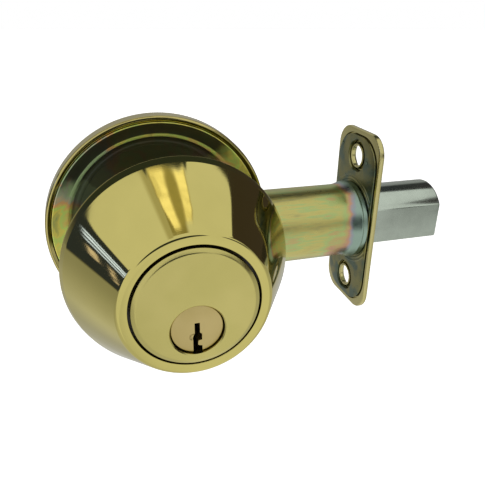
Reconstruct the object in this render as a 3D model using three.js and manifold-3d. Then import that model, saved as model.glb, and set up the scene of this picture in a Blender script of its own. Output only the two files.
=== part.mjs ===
// Single-cylinder deadbolt door lock with its bolt thrown, as it is bolted through a door.
// Units are millimetres. X points along the bolt towards the door's edge, Y points from the
// outside of the door to the inside, Z points up. The origin is the centre of the door's cross bore.
import * as THREE from 'three';
import { mergeVertices } from 'three/addons/utils/BufferGeometryUtils.js';
import Module from 'manifold-3d';

const wasm = await Module();
wasm.setup();

// ---- driving dimensions ---------------------------------------------------------------------

const GAP = 0.3; // clearance between touching pieces

const BACKSET = 60.3; // cross bore centre to the back of the faceplate's rim, 2 3/8 in door preparation
const THROW = 25.4; // how far the bolt moves, 1 in
const QUARTER_TURN = Math.PI / 2;

const HOUSING_REAR_Y = -17; // the tapered housing's face on the outside of the door
const HOUSING_RIM_RADIUS = 30.4;
const HOUSING_NOSE_Y = -37; // where the taper would meet the ring's outer radius
const HOUSING_NOSE_RADIUS = 19.4;
const HOUSING_FACE_Y = -38.5; // flat front face of the ring round the cylinder's head
const HOUSING_WALL = 1.9;

const HEAD_Y = -39.3; // front face of the cylinder's head
const HEAD_RADIUS = 15.3;
const HEAD_GAP = 0.65; // ring of shadow between the head and the housing
const BODY_RADIUS = 14.6;
const BODY_REAR_Y = -13.6;

const DRIVE_Z = -6; // height of the plug, tailpiece, cam and thumb turn
const PLUG_RADIUS = 6.35;
const PLUG_FRONT_Y = -38.4;
const PIN_COUNT = 5;
const PIN_PITCH = 3.97;
const FIRST_PIN_Y = -31.6;
const PIN_RADIUS = 1.35;
const BOTTOM_PIN_LENGTHS = [4.6, 5.6, 4.2, 5.9, 5.0];
const DRIVER_PIN_LENGTH = 4.4;
const CHAMBER_TOP_Z = 12.1;

const ROSE_FRONT_Y = 11.7; // the rose's face on the inside of the door
const ROSE_RADIUS = 33.4; // at that face
const ROSE_BELLY_RADIUS = 34.8;
const ROSE_TOP_Y = 25.4;
const PLATE_STEP_RADIUS = 28.2; // where the mounting plate's sloped flange drops into its recess

const SCREW_X = 11;
const SCREW_Z = -1.4;
const SCREW_RADIUS = 2.1;
const SCREW_HEAD_RADIUS = 4;

const LATCH_Z = 1.4; // the latch hangs a little above the housing's centre line
const TUBE_RADIUS = 11.4;
const TUBE_WALL = 0.6;
const TUBE_BACK_X = -20.5;
const FACEPLATE_WIDTH = 25.4;
const FACEPLATE_HEIGHT = 57.2;
const FACEPLATE_CORNER = 6.35;
const FACEPLATE_DEPTH = 1.6;
const FACEPLATE_SHEET = 0.8;
const PLATE_SCREW_OFFSET = 20.6; // half of the 1 5/8 in screw spacing
const BOLT_RADIUS = 10.5;
const BOLT_HALF_WIDTH = 9.07; // flats on both sides
const BOLT_BELOW = 5.5; // flat underside, below the latch's centre line
const BOLT_TIP_X = 86.1;
const BOLT_LENGTH = 43.6;

const ARM_LENGTH = THROW / Math.SQRT2; // swings from 45 degrees forward to 45 degrees back
const ARM_PIN_RADIUS = 1.4;
const HUB_RADIUS = 3.9;
const BLADE_WIDTH = 5.2;
const BLADE_THICKNESS = 1.6;

// ---- helpers --------------------------------------------------------------------------------

// A closed three.js geometry becomes a solid, turned inside out first if it faces inwards.
function solid(geometry) {
  const bare = geometry.clone();
  bare.deleteAttribute('normal');
  bare.deleteAttribute('uv');
  const merged = mergeVertices(bare, 1e-4);
  const position = merged.attributes.position;
  const corners = [0, 1, 2].map(() => new THREE.Vector3());
  const triangles = [];
  let volume = 0;
  for (let i = 0; i < merged.index.count; i += 3) {
    const triangle = [0, 1, 2].map((k) => merged.index.getX(i + k));
    if (new Set(triangle).size < 3) continue;
    triangles.push(triangle);
    triangle.forEach((vertex, k) => corners[k].fromBufferAttribute(position, vertex));
    volume += corners[0].dot(corners[1].cross(corners[2]));
  }
  const facing = volume < 0 ? triangles.map((triangle) => triangle.reverse()) : triangles;
  return new wasm.Manifold(new wasm.Mesh({
    numProp: 3,
    vertProperties: Float32Array.from(position.array),
    triVerts: Uint32Array.from(facing.flat()),
  }));
}

function geometryOf(body) {
  const mesh = body.getMesh();
  const geometry = new THREE.BufferGeometry();
  geometry.setAttribute('position', new THREE.BufferAttribute(mesh.vertProperties, 3));
  geometry.setIndex(new THREE.BufferAttribute(mesh.triVerts, 1));
  geometry.computeVertexNormals();
  return geometry;
}

function box(x0, x1, y0, y1, z0, z1) {
  const geometry = new THREE.BoxGeometry(x1 - x0, y1 - y0, z1 - z0);
  return solid(geometry.translate((x0 + x1) / 2, (y0 + y1) / 2, (z0 + z1) / 2));
}

// A profile of [radius, y] points turned about a line parallel to Y.
function turnedY(profile, x, z, segments) {
  const points = profile.map(([radius, y]) => new THREE.Vector2(radius, y));
  return solid(new THREE.LatheGeometry(points, segments).translate(x, 0, z));
}

// A profile of [radius, x] points turned about a line parallel to X.
function turnedX(profile, y, z, segments) {
  const points = profile.map(([radius, x]) => new THREE.Vector2(radius, x));
  return solid(new THREE.LatheGeometry(points, segments).rotateZ(-Math.PI / 2).translate(0, y, z));
}

function ringProfile(inner, outer, from, to) {
  return [[inner, from], [outer, from], [outer, to], [inner, to], [inner, from]];
}

function rodProfile(radius, from, to) {
  return [[0, from], [radius, from], [radius, to], [0, to]];
}

function rodY(radius, y0, y1, x, z, segments = 20) {
  return turnedY(rodProfile(radius, y0, y1), x, z, segments);
}

function rodX(radius, x0, x1, y, z, segments = 20) {
  return turnedX(rodProfile(radius, x0, x1), y, z, segments);
}

function rodZ(radius, z0, z1, x, y, segments = 12) {
  const geometry = new THREE.CylinderGeometry(radius, radius, z1 - z0, segments);
  return solid(geometry.rotateX(Math.PI / 2).translate(x, y, (z0 + z1) / 2));
}

// An outline of (x, z) points pushed along Y.
function extrudedY(shape, y0, y1, curveSegments = 6) {
  const geometry = new THREE.ExtrudeGeometry(shape, { depth: y1 - y0, bevelEnabled: false, curveSegments });
  return solid(geometry.rotateX(Math.PI / 2).translate(0, y1, 0));
}

// An outline of (y, z) points pushed along X.
function extrudedX(shape, x0, x1, curveSegments = 5) {
  const geometry = new THREE.ExtrudeGeometry(shape, { depth: x1 - x0, bevelEnabled: false, curveSegments });
  return solid(geometry.rotateX(Math.PI / 2).rotateZ(Math.PI / 2).translate(x0, 0, 0));
}

function outline(points) {
  return new THREE.Shape(points.map(([u, v]) => new THREE.Vector2(u, v)));
}

function roundedRectangle(halfWidth, halfHeight, corner, centreV) {
  const shape = new THREE.Shape();
  const [top, bottom] = [centreV + halfHeight, centreV - halfHeight];
  shape.moveTo(halfWidth, bottom + corner);
  shape.lineTo(halfWidth, top - corner);
  shape.absarc(halfWidth - corner, top - corner, corner, 0, QUARTER_TURN);
  shape.absarc(corner - halfWidth, top - corner, corner, QUARTER_TURN, 2 * QUARTER_TURN);
  shape.absarc(corner - halfWidth, bottom + corner, corner, 2 * QUARTER_TURN, 3 * QUARTER_TURN);
  shape.absarc(halfWidth - corner, bottom + corner, corner, 3 * QUARTER_TURN, 4 * QUARTER_TURN);
  shape.closePath();
  return shape;
}

function cut(body, ...tools) {
  return tools.reduce((rest, tool) => rest.subtract(tool), body);
}

function joined(body, ...others) {
  return others.reduce((whole, other) => whole.add(other), body);
}

const lock = new THREE.Group();

function add(name, body, colour, roughness, metalness = 1) {
  const material = new THREE.MeshStandardMaterial({ color: colour, roughness, metalness });
  const mesh = new THREE.Mesh(geometryOf(body), material);
  mesh.name = name;
  lock.add(mesh);
}

const POLISHED_BRASS = [0xc9a24a, 0.12];
const SATIN_BRASS = [0xb3a56a, 0.35];
const YELLOW_ZINC = [0xa89a62, 0.3];
const STEEL = [0x8d8f93, 0.35];
const HARD_STEEL = [0x6f7276, 0.3];
const SPRING_STEEL = [0x9a9c9f, 0.25];

const pinNumbers = Array.from({ length: PIN_COUNT }, (_, i) => i);
const pinY = (i) => FIRST_PIN_Y + i * PIN_PITCH;
const plugTopZ = DRIVE_Z + PLUG_RADIUS;
const plugHoleRadius = PLUG_RADIUS + GAP;
const screwPlaces = [['left', -SCREW_X], ['right', SCREW_X]];

// ---- exterior housing -----------------------------------------------------------------------

function exteriorHousing() {
  const boreRadius = HEAD_RADIUS + HEAD_GAP;
  const innerRimRadius = HOUSING_RIM_RADIUS - HOUSING_WALL - 0.6;
  const innerNoseRadius = HOUSING_NOSE_RADIUS - HOUSING_WALL + 0.6;
  return turnedY([
    [boreRadius, HOUSING_FACE_Y],
    [HOUSING_NOSE_RADIUS - 1.6, HOUSING_FACE_Y],
    [HOUSING_NOSE_RADIUS - 0.9, HOUSING_FACE_Y + 0.25],
    [HOUSING_NOSE_RADIUS - 0.43, HOUSING_FACE_Y + 0.75],
    [HOUSING_RIM_RADIUS - 2, HOUSING_REAR_Y - 4.4],
    [HOUSING_RIM_RADIUS - 0.7, HOUSING_REAR_Y - 2.1],
    [HOUSING_RIM_RADIUS, HOUSING_REAR_Y - 0.4],
    [HOUSING_RIM_RADIUS - 0.4, HOUSING_REAR_Y],
    [innerRimRadius, HOUSING_REAR_Y],
    [innerRimRadius, HOUSING_REAR_Y - 1.8],
    [innerNoseRadius, HOUSING_NOSE_Y + HOUSING_WALL],
    [boreRadius, HOUSING_NOSE_Y + HOUSING_WALL],
    [boreRadius, HOUSING_FACE_Y],
  ], 0, 0, 48);
}

// A hardened sleeve round the cylinder with a flange that backs the housing's rim.
function housingBackingRing() {
  const inner = BODY_RADIUS + GAP + 0.05;
  const sleeve = inner + 1.5;
  const flangeFront = HOUSING_REAR_Y - 2.3;
  const flangeRear = HOUSING_REAR_Y - 0.4;
  return turnedY([
    [inner, HOUSING_NOSE_Y + HOUSING_WALL + GAP],
    [sleeve, HOUSING_NOSE_Y + HOUSING_WALL + GAP],
    [sleeve, flangeFront],
    [HOUSING_RIM_RADIUS - 3.5, flangeFront],
    [HOUSING_RIM_RADIUS - 3.2, flangeRear],
    [inner, flangeRear],
    [inner, HOUSING_NOSE_Y + HOUSING_WALL + GAP],
  ], 0, 0, 40);
}

// ---- key cylinder ---------------------------------------------------------------------------

function cylinderBody() {
  const neckY = HOUSING_NOSE_Y + HOUSING_WALL;
  const body = turnedY([
    [0, HEAD_Y],
    [HEAD_RADIUS - 0.75, HEAD_Y],
    [HEAD_RADIUS, HEAD_Y + 0.65],
    [HEAD_RADIUS, neckY - 0.5],
    [BODY_RADIUS, neckY - 0.5],
    [BODY_RADIUS, BODY_REAR_Y],
    [0, BODY_REAR_Y],
  ], 0, 0, 48);
  const plugHole = turnedY([
    [0, HEAD_Y - 1],
    [plugHoleRadius + 1.25, HEAD_Y - 1],
    [plugHoleRadius, HEAD_Y + 0.25],
    [plugHoleRadius, BODY_REAR_Y + 1],
    [0, BODY_REAR_Y + 1],
  ], 0, DRIVE_Z, 36);
  const chambers = pinNumbers.map((i) => rodZ(PIN_RADIUS + 0.15, DRIVE_Z, CHAMBER_TOP_Z + 0.5, 0, pinY(i)));
  const capSlot = box(-1.8, 1.8, FIRST_PIN_Y - 1.8, BODY_REAR_Y - 0.4, CHAMBER_TOP_Z, BODY_RADIUS + 1);
  const screwHoles = screwPlaces.map(([, x]) => (
    rodY(SCREW_RADIUS + GAP, BODY_REAR_Y - 8, BODY_REAR_Y + 1, x, SCREW_Z, 16)
  ));
  return cut(body, plugHole, capSlot, ...chambers, ...screwHoles);
}

function chamberCap() {
  const [frontY, rearY] = [FIRST_PIN_Y - 1.5, BODY_REAR_Y - 0.7];
  return box(-1.5, 1.5, frontY, rearY, CHAMBER_TOP_Z + GAP, BODY_RADIUS - 0.7);
}

function driverPin(i) {
  const bottom = DRIVE_Z + plugHoleRadius;
  return rodZ(PIN_RADIUS, bottom, bottom + DRIVER_PIN_LENGTH, 0, pinY(i));
}

function pinSpring(i) {
  const bottom = DRIVE_Z + plugHoleRadius + DRIVER_PIN_LENGTH + 0.5;
  const top = CHAMBER_TOP_Z - 0.4;
  const [turns, coilRadius, wireRadius, stepsPerTurn] = [4, 1, 0.2, 8];
  const points = [];
  const steps = turns * stepsPerTurn;
  for (let step = 0; step <= steps; step += 1) {
    const angle = (step / stepsPerTurn) * 2 * Math.PI;
    const height = bottom + ((top - bottom) * step) / steps;
    const [x, y] = [coilRadius * Math.cos(angle), pinY(i) + coilRadius * Math.sin(angle)];
    points.push(new THREE.Vector3(x, y, height));
  }
  const wire = new THREE.Shape().absarc(0, 0, wireRadius, 0, 2 * Math.PI);
  const path = new THREE.CatmullRomCurve3(points);
  const options = { extrudePath: path, steps, curveSegments: 2, bevelEnabled: false };
  return solid(new THREE.ExtrudeGeometry(wire, options));
}

// A paracentric keyway, open at the plug's underside, in the plug's own (x, z).
function keyway() {
  return outline([
    [-0.65, 1.65], [0.65, 1.65], [0.65, -1.2], [1.15, -1.5], [1.15, -3.2], [0.15, -3.4], [0.15, -4.6],
    [1.2, -4.9], [1.2, -7], [-1.05, -7], [-1.05, -2.5], [-0.65, -1.5],
  ].map(([x, z]) => [x, z + DRIVE_Z]));
}

const CLIP_FRONT_Y = BODY_REAR_Y + GAP;
const CLIP_THICKNESS = 0.6;
const PLUG_REAR_Y = CLIP_FRONT_Y + CLIP_THICKNESS + 1;

function plug() {
  const [grooveFront, grooveRear] = [CLIP_FRONT_Y - 0.2, CLIP_FRONT_Y + CLIP_THICKNESS + 0.2];
  const body = turnedY([
    [0, PLUG_FRONT_Y],
    [PLUG_RADIUS - 0.4, PLUG_FRONT_Y],
    [PLUG_RADIUS, PLUG_FRONT_Y + 0.4],
    [PLUG_RADIUS, grooveFront],
    [5.2, grooveFront],
    [5.2, grooveRear],
    [6, grooveRear],
    [6, PLUG_REAR_Y],
    [0, PLUG_REAR_Y],
  ], 0, DRIVE_Z, 36);
  const keySlot = extrudedY(keyway(), PLUG_FRONT_Y - 1, PLUG_REAR_Y - 6);
  const chambers = pinNumbers.map((i) => rodZ(PIN_RADIUS + 0.15, DRIVE_Z - 0.6, plugTopZ + 1, 0, pinY(i)));
  const tailPocket = rodY(3.3, PLUG_REAR_Y - 2.3, PLUG_REAR_Y + 1, 0, DRIVE_Z);
  return cut(body, keySlot, tailPocket, ...chambers);
}

function bottomPin(i) {
  const top = plugTopZ - 0.15;
  const tip = top - BOTTOM_PIN_LENGTHS[i];
  const profile = [[0, tip], [0.45, tip], [PIN_RADIUS, tip + 0.9], [PIN_RADIUS, top], [0, top]];
  const points = profile.map(([radius, z]) => new THREE.Vector2(radius, z));
  return solid(new THREE.LatheGeometry(points, 12).rotateX(Math.PI / 2).translate(0, pinY(i), 0));
}

function plugRetainerClip() {
  const ring = turnedY(ringProfile(5.5, 7.9, CLIP_FRONT_Y, CLIP_FRONT_Y + CLIP_THICKNESS), 0, DRIVE_Z, 28);
  const mouth = box(-2.2, 2.2, CLIP_FRONT_Y - 1, CLIP_FRONT_Y + 2, DRIVE_Z - 9, DRIVE_Z);
  return cut(ring, mouth);
}

// ---- turning drive --------------------------------------------------------------------------

const TURN_FLANGE_Y = ROSE_TOP_Y + 0.4;
const TURN_SHAFT_REAR_Y = ROSE_TOP_Y - 4.8;
const TURN_CLIP_Y = TURN_SHAFT_REAR_Y + 1.4;

function bladeBox(margin, y0, y1) {
  const [halfX, halfZ] = [BLADE_THICKNESS / 2 + margin, BLADE_WIDTH / 2 + margin];
  return box(-halfX, halfX, y0, y1, DRIVE_Z - halfZ, DRIVE_Z + halfZ);
}

// A flat blade with a round head that sits in the plug's rear pocket.
function tailpiece() {
  const headFront = PLUG_REAR_Y - 2;
  const head = rodY(2.95, headFront, headFront + 1, 0, DRIVE_Z);
  return joined(head, bladeBox(0, headFront + 0.5, TURN_FLANGE_Y - 1.5));
}

// The hub's slot takes the blade. Its arm leans 45 degrees towards the bolt, with a pin at its end.
function latchCam() {
  const hub = rodY(HUB_RADIUS, -6.8, 6.8, 0, DRIVE_Z, 24);
  const lean = Math.PI / 4;
  const arm = new THREE.BoxGeometry(3.2, 1.8, ARM_LENGTH - 2).translate(0, 0, ARM_LENGTH / 2 + 1);
  const armSolid = solid(arm.rotateY(lean).translate(0, 0, DRIVE_Z));
  const [tipX, tipZ] = [ARM_LENGTH * Math.sin(lean), DRIVE_Z + ARM_LENGTH * Math.cos(lean)];
  const eye = rodY(1.8, -0.9, 0.9, tipX, tipZ, 16);
  const pin = rodY(ARM_PIN_RADIUS, 0, 3.3, tipX, tipZ, 16);
  return cut(joined(hub, armSolid, eye, pin), bladeBox(GAP, -8, 8));
}

function thumbTurn() {
  const shaft = turnedY([
    [0, TURN_SHAFT_REAR_Y],
    [5.2, TURN_SHAFT_REAR_Y],
    [5.2, TURN_CLIP_Y - 0.1],
    [4.3, TURN_CLIP_Y - 0.1],
    [4.3, TURN_CLIP_Y + 0.7],
    [5.2, TURN_CLIP_Y + 0.7],
    [5.2, TURN_FLANGE_Y],
    [7.2, TURN_FLANGE_Y],
    [7, TURN_FLANGE_Y + 1.4],
    [5.4, TURN_FLANGE_Y + 2.4],
    [4.4, TURN_FLANGE_Y + 5.5],
    [4.4, TURN_FLANGE_Y + 9],
    [0, TURN_FLANGE_Y + 9],
  ], 0, DRIVE_Z, 28);
  const paddle = new THREE.Shape();
  const paddleY = TURN_FLANGE_Y + 12;
  paddle.absellipse(0, 0, 16.6, 6.4, 0, 2 * Math.PI);
  const options = {
    depth: 3.4, curveSegments: 18, bevelEnabled: true, bevelThickness: 1.9, bevelSize: 0.9, bevelSegments: 2,
  };
  const blade = new THREE.ExtrudeGeometry(paddle, options).translate(0, paddleY, DRIVE_Z - 1.7);
  const slot = bladeBox(GAP, TURN_SHAFT_REAR_Y - 1, TURN_FLANGE_Y - 1);
  return cut(joined(shaft, solid(blade)), slot);
}

function thumbTurnClip() {
  const ring = turnedY(ringProfile(4.6, 7.2, TURN_CLIP_Y, TURN_CLIP_Y + 0.6), 0, DRIVE_Z, 28);
  return cut(ring, box(-2, 2, TURN_CLIP_Y - 1, TURN_CLIP_Y + 2, DRIVE_Z - 9, DRIVE_Z));
}

// ---- interior side --------------------------------------------------------------------------

const roseOuter = [
  [ROSE_RADIUS - 0.6, ROSE_FRONT_Y],
  [ROSE_RADIUS + 0.1, ROSE_FRONT_Y],
  [ROSE_RADIUS + 0.8, ROSE_FRONT_Y + 0.7],
  [ROSE_BELLY_RADIUS, ROSE_FRONT_Y + 3],
  [ROSE_BELLY_RADIUS - 0.4, ROSE_FRONT_Y + 5.2],
  [ROSE_BELLY_RADIUS - 2.4, ROSE_FRONT_Y + 8.6],
  [ROSE_BELLY_RADIUS - 6.6, ROSE_FRONT_Y + 11.2],
  [22, ROSE_TOP_Y - 1],
  [14, ROSE_TOP_Y - 0.1],
];

function interiorRose() {
  const wall = 1.2;
  const shell = turnedY([
    ...roseOuter,
    [0, ROSE_TOP_Y],
    [0, ROSE_TOP_Y - wall],
    [14, ROSE_TOP_Y - 0.1 - wall],
    [21.6, ROSE_TOP_Y - 1 - wall],
    [ROSE_BELLY_RADIUS - 7.2, ROSE_FRONT_Y + 11.2 - wall],
    [ROSE_BELLY_RADIUS - 3.4, ROSE_FRONT_Y + 7.7],
    [ROSE_BELLY_RADIUS - 1.5, ROSE_FRONT_Y + 3],
    roseOuter[0],
  ], 0, 0, 48);
  const screwHoles = screwPlaces.map(([, x]) => rodY(SCREW_RADIUS + 0.4, 20, 30, x, SCREW_Z, 16));
  return cut(shell, rodY(5.6, 20, 30, 0, DRIVE_Z, 24), ...screwHoles);
}

// A zinc plate with a sloped outer flange and a deep recess, which the rose snaps over.
function mountingPlate() {
  const [outer, step, floorY] = [ROSE_RADIUS - 1, PLATE_STEP_RADIUS, ROSE_FRONT_Y + 5.4];
  const plate = turnedY([
    [0, floorY],
    [step - 1.8, floorY],
    [step - 0.5, ROSE_FRONT_Y + 2.6],
    [step, ROSE_FRONT_Y + 1.9],
    [outer - 0.2, ROSE_FRONT_Y + 0.2],
    [outer + 0.1, ROSE_FRONT_Y + 0.5],
    [outer - 0.1, ROSE_FRONT_Y + 1.2],
    [step + 0.7, ROSE_FRONT_Y + 2.9],
    [step + 0.1, ROSE_FRONT_Y + 3.4],
    [step - 0.8, floorY + 1.2],
    [0, floorY + 1.2],
  ], 0, 0, 48);
  const screwHoles = screwPlaces.map(([, x]) => rodY(SCREW_RADIUS + 0.5, 10, 22, x, SCREW_Z, 16));
  return cut(plate, rodY(4.4, 10, 22, 0, DRIVE_Z, 24), ...screwHoles);
}

function mountingScrew(x) {
  return turnedY([
    [0, BODY_REAR_Y - 7],
    [SCREW_RADIUS - 0.5, BODY_REAR_Y - 7],
    [SCREW_RADIUS, BODY_REAR_Y - 6.4],
    [SCREW_RADIUS, TURN_FLANGE_Y],
    [SCREW_HEAD_RADIUS, TURN_FLANGE_Y],
    [SCREW_HEAD_RADIUS - 0.2, TURN_FLANGE_Y + 0.9],
    [SCREW_HEAD_RADIUS - 1.6, TURN_FLANGE_Y + 1.9],
    [0, TURN_FLANGE_Y + 2.3],
  ], x, SCREW_Z, 20);
}

function springWasher() {
  const front = ROSE_TOP_Y - 2.6;
  const [inner, outer, sheet, rise] = [5.7, 8, 0.35, 0.5];
  return turnedY([
    [inner, front + rise],
    [outer, front],
    [outer, front + sheet],
    [inner, front + rise + sheet],
    [inner, front + rise],
  ], 0, DRIVE_Z, 28);
}

// ---- latch ----------------------------------------------------------------------------------

// The bolt's section, round above with flat sides and a flat underside, as an outline of (y, z).
function boltOutline(margin) {
  const shape = new THREE.Shape();
  const [radius, halfWidth] = [BOLT_RADIUS + margin, BOLT_HALF_WIDTH + margin];
  const bottom = LATCH_Z - BOLT_BELOW - margin;
  const start = Math.acos(halfWidth / radius);
  shape.absarc(0, LATCH_Z, radius, start, Math.PI - start);
  shape.lineTo(-halfWidth, bottom);
  shape.lineTo(halfWidth, bottom);
  shape.closePath();
  return shape;
}

const BOLT_BACK_X = BOLT_TIP_X - BOLT_LENGTH;
const TAIL_Y = [1.3, 2.9];
const TAIL_PIN_X = BOLT_BACK_X + 3.6;
const TAIL_TANG_Z = [2.6, 8];
const tailPinZ = (TAIL_TANG_Z[0] + TAIL_TANG_Z[1]) / 2;

function bolt() {
  const blank = extrudedX(boltOutline(0), BOLT_BACK_X, BOLT_TIP_X, 10);
  const tipChamfer = turnedX([
    [0, BOLT_BACK_X - 1],
    [BOLT_RADIUS + 1, BOLT_BACK_X - 1],
    [BOLT_RADIUS + 1, BOLT_TIP_X - 1.8],
    [BOLT_RADIUS - 0.9, BOLT_TIP_X + 0.1],
    [0, BOLT_TIP_X + 0.1],
  ], 0, LATCH_Z, 40);
  const rollerBore = rodX(3.2, BOLT_BACK_X - 1, BOLT_TIP_X - 6, -4.4, LATCH_Z - 1);
  const [tangY0, tangY1] = [TAIL_Y[0] - GAP, TAIL_Y[1] + GAP];
  const [tangZ0, tangZ1] = [TAIL_TANG_Z[0] - GAP, TAIL_TANG_Z[1] + GAP];
  const tangSlot = box(BOLT_BACK_X - 1, BOLT_BACK_X + 7.4, tangY0, tangY1, tangZ0, tangZ1);
  const crossHole = rodY(1.5, -BOLT_RADIUS, BOLT_RADIUS, TAIL_PIN_X, tailPinZ, 14);
  return cut(blank.intersect(tipChamfer), rollerBore, tangSlot, crossHole);
}

function boltRollerPin() {
  return rodX(2.9, BOLT_BACK_X + 0.8, BOLT_TIP_X - 6.5, -4.4, LATCH_Z - 1);
}

// A flat drawbar behind the bolt, with an upright slot for the cam's pin.
function boltTail() {
  const slotX = ARM_LENGTH * Math.sin(Math.PI / 4);
  const slotHalf = ARM_PIN_RADIUS + 0.75;
  const [low, high, slotBottom] = [LATCH_Z, LATCH_Z + 9.5, DRIVE_Z + 10.9];
  const [tangX, tangEnd] = [BOLT_BACK_X - 1.5, BOLT_BACK_X + 7];
  const bar = outline([
    [slotX - slotHalf - 3.2, low], [tangX, low], [tangX, TAIL_TANG_Z[0]], [tangEnd, TAIL_TANG_Z[0]],
    [tangEnd, TAIL_TANG_Z[1]], [tangX, TAIL_TANG_Z[1]], [tangX, high], [slotX + slotHalf, high],
    [slotX + slotHalf, slotBottom], [slotX - slotHalf, slotBottom], [slotX - slotHalf, high],
    [slotX - slotHalf - 3.2, high],
  ]);
  return cut(extrudedY(bar, TAIL_Y[0], TAIL_Y[1]), rodY(1.5, 0, 4, TAIL_PIN_X, tailPinZ, 14));
}

function boltTailPin() {
  return rodY(1.2, -8.4, 8.4, TAIL_PIN_X, tailPinZ, 14);
}

const RIM_BACK_X = BACKSET - 0.5;
const FACE_X = RIM_BACK_X + FACEPLATE_DEPTH;
const BACKPLATE_X = [RIM_BACK_X - 0.5, FACE_X - FACEPLATE_SHEET - GAP];

// A sheet tube, open above for the cam's arm, open below and on both sides for its hub and the
// two mounting screws, with a flared collar against the backplate.
function latchTube() {
  const inner = TUBE_RADIUS - TUBE_WALL;
  const end = BACKPLATE_X[0] - GAP;
  const tube = turnedX([
    [inner, TUBE_BACK_X],
    [TUBE_RADIUS, TUBE_BACK_X],
    [TUBE_RADIUS, end - 4],
    [TUBE_RADIUS + 0.5, end - 1.8],
    [TUBE_RADIUS + 1.2, end - 0.5],
    [TUBE_RADIUS + 1.2, end],
    [inner, end],
    [inner, TUBE_BACK_X],
  ], 0, LATCH_Z, 40);
  const hubWindow = rodY(HUB_RADIUS + 0.8, -15, 15, 0, DRIVE_Z, 24);
  const armSlot = box(-10.6, 10.6, -1.7, 4.1, LATCH_Z + 5, LATCH_Z + 15);
  const screwHoles = screwPlaces.map(([, x]) => rodY(SCREW_RADIUS + 1, -15, 15, x, SCREW_Z, 16));
  return cut(tube, hubWindow, armSlot, ...screwHoles);
}

function boltHole() {
  return extrudedX(boltOutline(0.35), BACKSET - 5, BACKSET + 5, 10);
}

// The hollow in the faceplate's back, or the backplate that sits in it with a margin all round.
function wellOutline(margin) {
  const [side, end, corner] = [0.95, 1.5, 9];
  const [halfWidth, halfHeight] = [FACEPLATE_WIDTH / 2 - side, FACEPLATE_HEIGHT / 2 - end];
  return roundedRectangle(halfWidth - margin, halfHeight - margin, corner - margin, LATCH_Z);
}

function latchBackplate() {
  const shape = wellOutline(0.35);
  const holes = [-1, 1].map((side) => (
    rodX(4.8, BACKSET - 5, BACKSET + 5, 0, LATCH_Z + side * PLATE_SCREW_OFFSET, 24)
  ));
  return cut(extrudedX(shape, BACKPLATE_X[0], BACKPLATE_X[1]), boltHole(), ...holes);
}

// A shallow tray: its rim curls back round the backplate and is broader at the corners. Collars
// round its screw holes stand back through the backplate's larger holes.
function latchFaceplate() {
  const outer = roundedRectangle(FACEPLATE_WIDTH / 2, FACEPLATE_HEIGHT / 2, FACEPLATE_CORNER, LATCH_Z);
  const well = extrudedX(wellOutline(0), RIM_BACK_X - 1, FACE_X - FACEPLATE_SHEET);
  const collarX = RIM_BACK_X - 0.4;
  const dishes = [-1, 1].map((side) => turnedX([
    [2, collarX],
    [3.7, collarX],
    [3.9, FACE_X - 0.4],
    [2, FACE_X - 0.4],
    [2, collarX],
  ], 0, LATCH_Z + side * PLATE_SCREW_OFFSET, 24));
  const sinks = [-1, 1].map((side) => turnedX([
    [0, collarX - 1],
    [3.1, collarX - 1],
    [3.1, FACE_X - 0.9],
    [4.1, FACE_X + 0.1],
    [0, FACE_X + 0.1],
  ], 0, LATCH_Z + side * PLATE_SCREW_OFFSET, 24));
  const tray = cut(extrudedX(outer, RIM_BACK_X, FACE_X), well, boltHole());
  return cut(joined(tray, ...dishes), ...sinks);
}

// ---- assembly -------------------------------------------------------------------------------

add('exterior_housing', exteriorHousing(), ...POLISHED_BRASS);
add('housing_backing_ring', housingBackingRing(), ...HARD_STEEL);
add('cylinder_body', cylinderBody(), ...SATIN_BRASS);
add('chamber_cap', chamberCap(), ...SATIN_BRASS);
pinNumbers.forEach((i) => {
  add(`driver_pin_${i + 1}`, driverPin(i), ...STEEL);
  add(`pin_spring_${i + 1}`, pinSpring(i), ...SPRING_STEEL);
  add(`bottom_pin_${i + 1}`, bottomPin(i), ...SATIN_BRASS);
});
add('plug', plug(), ...SATIN_BRASS);
add('plug_retainer_clip', plugRetainerClip(), ...SPRING_STEEL);
add('tailpiece', tailpiece(), ...STEEL);
add('latch_cam', latchCam(), ...YELLOW_ZINC);
add('thumb_turn', thumbTurn(), ...POLISHED_BRASS);
add('thumb_turn_clip', thumbTurnClip(), ...SPRING_STEEL);
add('spring_washer', springWasher(), ...SPRING_STEEL);
add('interior_rose', interiorRose(), ...POLISHED_BRASS);
add('mounting_plate', mountingPlate(), ...YELLOW_ZINC);
screwPlaces.forEach(([side, x]) => add(`mounting_screw_${side}`, mountingScrew(x), ...STEEL));
add('bolt', bolt(), ...STEEL);
add('bolt_roller_pin', boltRollerPin(), ...HARD_STEEL);
add('bolt_tail', boltTail(), ...YELLOW_ZINC);
add('bolt_tail_pin', boltTailPin(), ...STEEL);
add('latch_tube', latchTube(), ...YELLOW_ZINC);
add('latch_backplate', latchBackplate(), ...YELLOW_ZINC);
add('latch_faceplate', latchFaceplate(), ...POLISHED_BRASS);

export default lock;
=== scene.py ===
"""Looks of a deadbolt door lock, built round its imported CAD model.

Shapes are worked out in millimetres, from the CAD nodes' boxes, and made in metres. X runs along
the bolt, Y from the outside of the door to the inside, and Z is up.
"""

import math

import bmesh
import bpy
from mathutils import Matrix, Vector


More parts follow.
